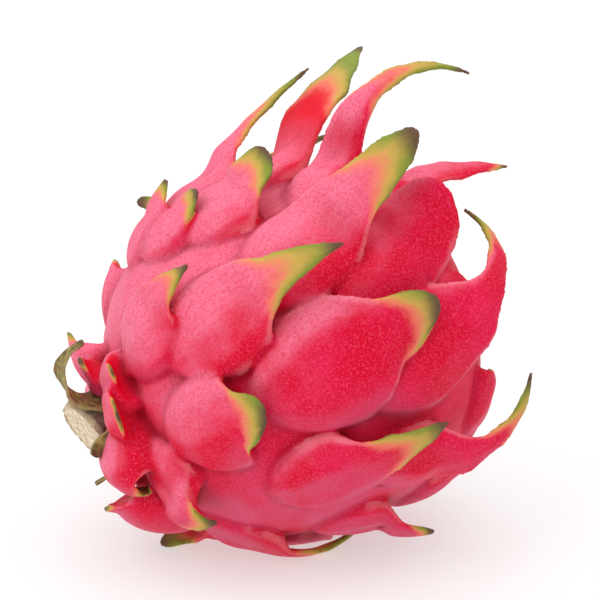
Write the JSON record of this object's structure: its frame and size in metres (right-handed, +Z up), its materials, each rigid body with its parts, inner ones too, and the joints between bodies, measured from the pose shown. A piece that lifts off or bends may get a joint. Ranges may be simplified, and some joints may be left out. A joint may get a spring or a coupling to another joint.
{
  "type": "dragon fruit",
  "caption": "Whole ripe dragon fruit lying on its side: a round pink fruit with curling green-tipped scales, a dry cut stem and a flower scar.",
  "frame": {"origin": "on the table, under the middle of the whole fruit's box", "axes": "+X towards the flower end, which is propped up 14 degrees; -X towards the stem; +Z up; the side with the largest scales faces -Y"},
  "size_m": [0.1108, 0.103, 0.1147],
  "materials": {
    "fruit_skin": "satin, waxy skin: crimson pink, green at the scales' tips",
    "stem_cork": "matt, dry and corky with a pale cut face",
    "dry_scale": "matt, withered and papery",
    "flower_scar": "matt, dry fibres"
  },
  "bodies": {
    "root": {"fruit": "fruit_skin", "stem_stub": "stem_cork", "stem_scale_upper": "dry_scale", "stem_scale_side": "dry_scale", "stem_scale_lower": "dry_scale", "flower_scar": "flower_scar"}
  },
  "joints": []
}
